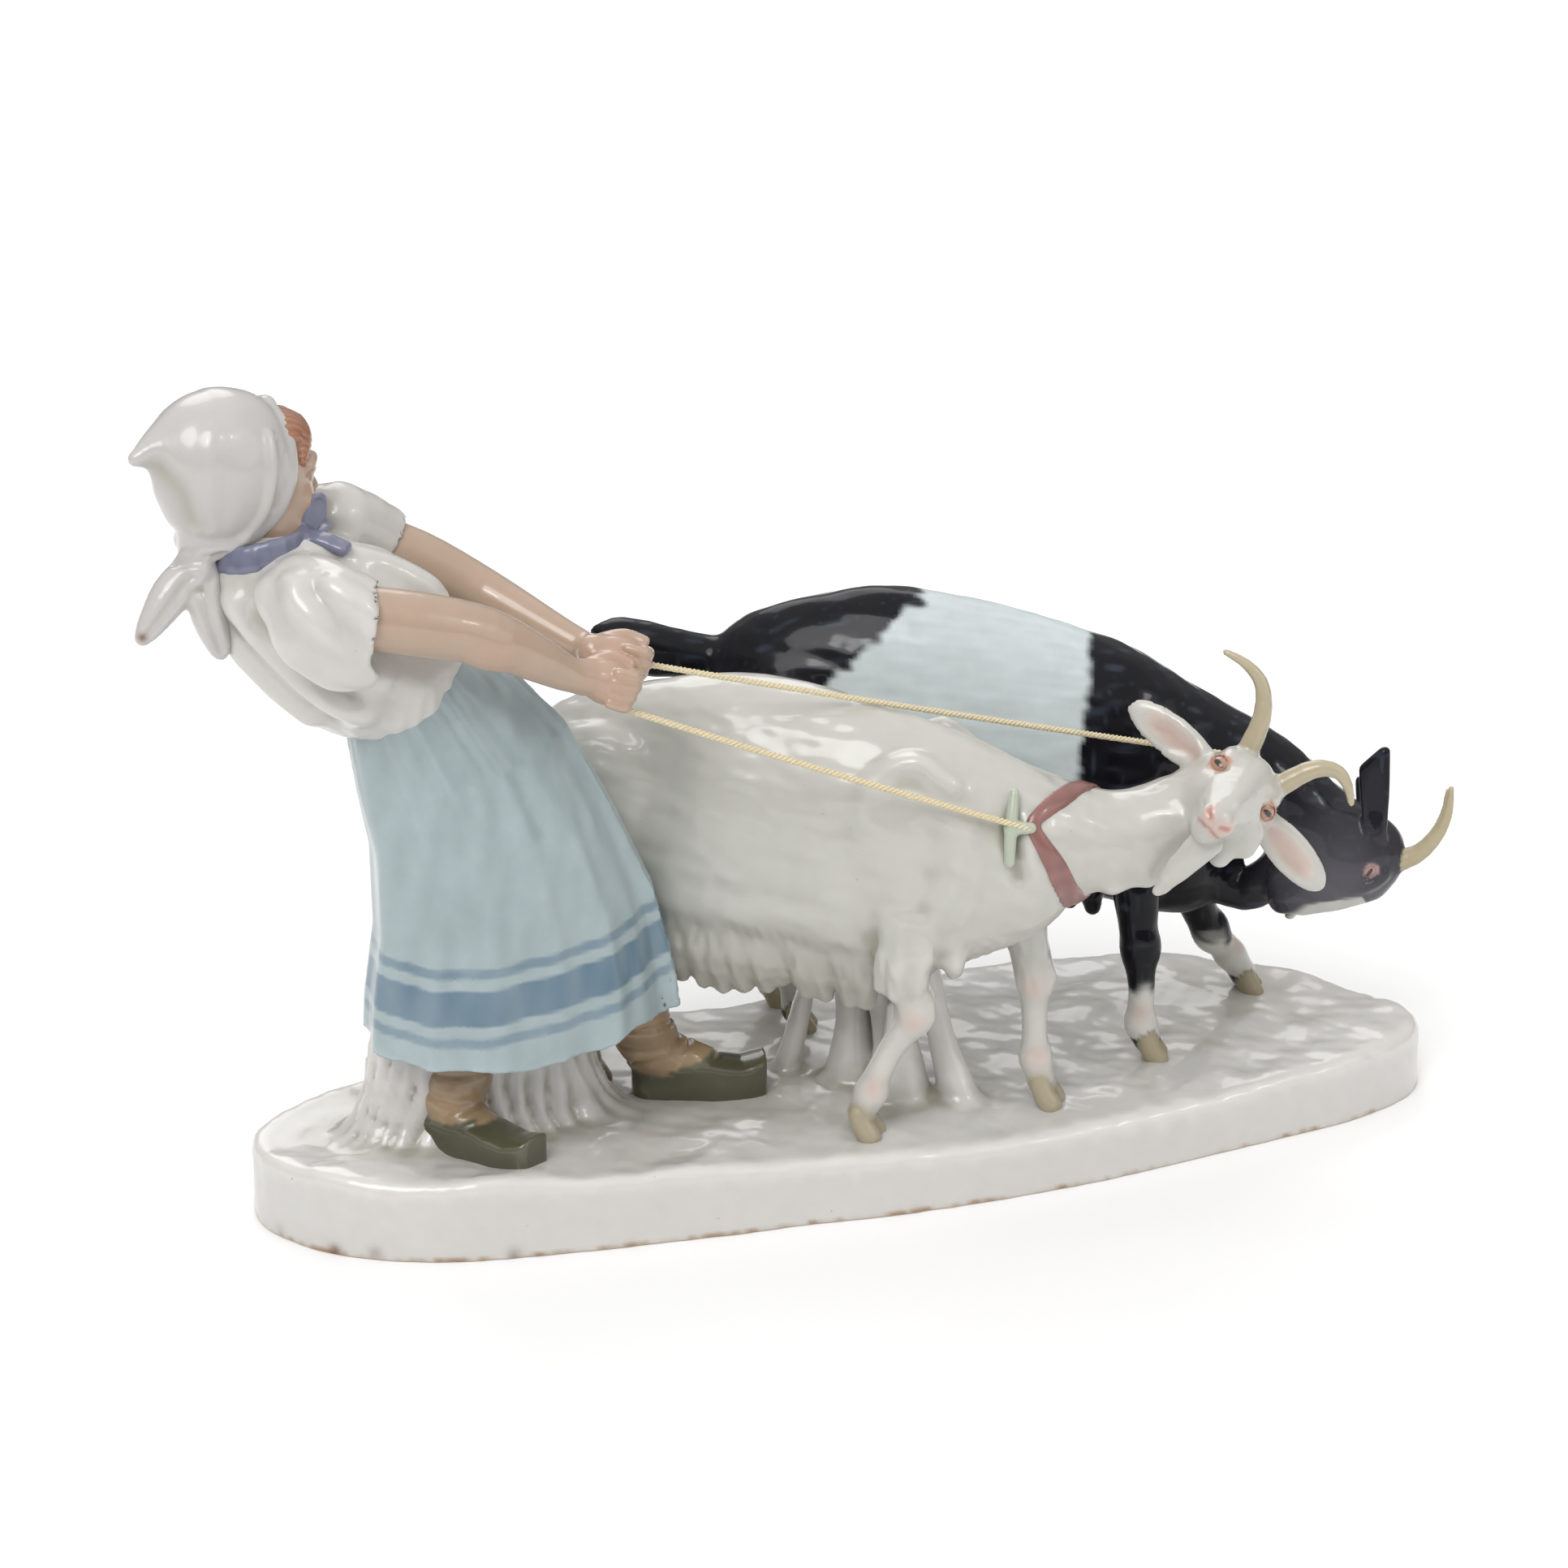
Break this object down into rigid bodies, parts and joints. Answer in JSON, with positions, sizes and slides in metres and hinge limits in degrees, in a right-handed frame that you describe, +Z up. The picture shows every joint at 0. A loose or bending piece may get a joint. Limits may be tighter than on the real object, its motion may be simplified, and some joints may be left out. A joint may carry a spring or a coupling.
{
  "type": "porcelain figurine",
  "caption": "Glazed porcelain group on an oval base, for a shelf: a girl in a kerchief leans back and holds goats on twine leads.",
  "frame": {"origin": "middle of the flat underside of the base", "axes": "+X along the base towards the goats' heads, +Y away from the front of the group, +Z up"},
  "size_m": [0.4013, 0.1667, 0.2531],
  "materials": {
    "glazed_porcelain": "white glazed porcelain with underglaze colours",
    "twine": "cream twisted twine"
  },
  "bodies": {
    "root": {"porcelain_group": "glazed_porcelain", "lead_white_goat": "twine", "lead_black_goat": "twine"}
  },
  "joints": []
}
